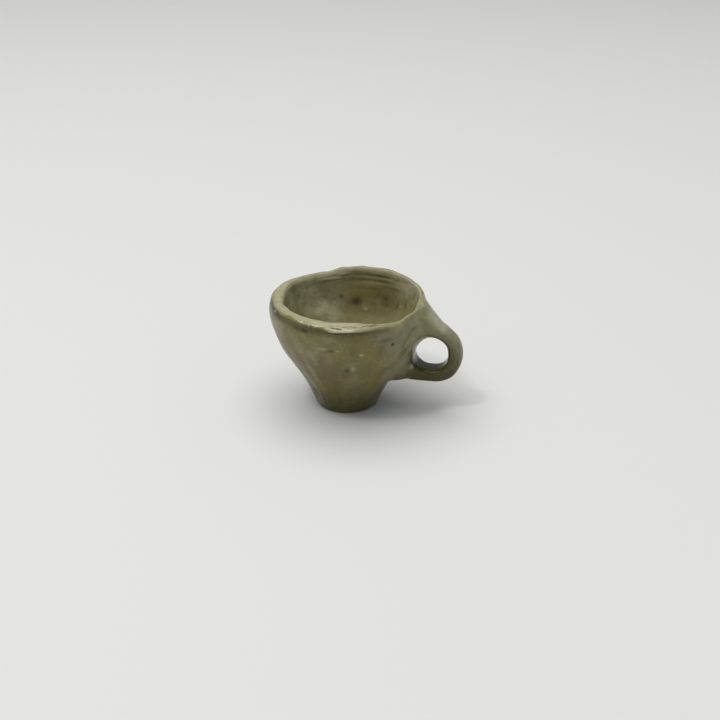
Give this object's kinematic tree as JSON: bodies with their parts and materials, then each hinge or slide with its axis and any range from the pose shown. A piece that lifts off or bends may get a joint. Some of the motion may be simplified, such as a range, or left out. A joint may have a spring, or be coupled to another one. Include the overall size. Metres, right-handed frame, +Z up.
{
  "type": "espresso cup",
  "caption": "Hand-pinched espresso cup in thick olive-green glazed clay, with a narrow foot, a rolled wavy lip and one broad handle with a round finger hole.",
  "frame": {"origin": "centre of the foot's underside, where the cup rests", "axes": "+Z up out of the mouth, +X from the cup's axis towards the handle, +Y to the left of the handle seen from above with the handle pointing away"},
  "size_m": [0.0791, 0.0643, 0.0485],
  "materials": {
    "glaze_foot": "satin, pooled dark olive",
    "glaze_wall": "satin, mottled olive green",
    "glaze_lip": "satin, thin and pale where it breaks over the edge",
    "glaze_handle": "satin, grey olive"
  },
  "bodies": {
    "root": {"foot": "glaze_foot", "bowl": "glaze_wall", "lip": "glaze_lip", "handle_upper_root": "glaze_handle", "handle_strap": "glaze_handle", "handle_lower_root": "glaze_handle"}
  },
  "joints": []
}
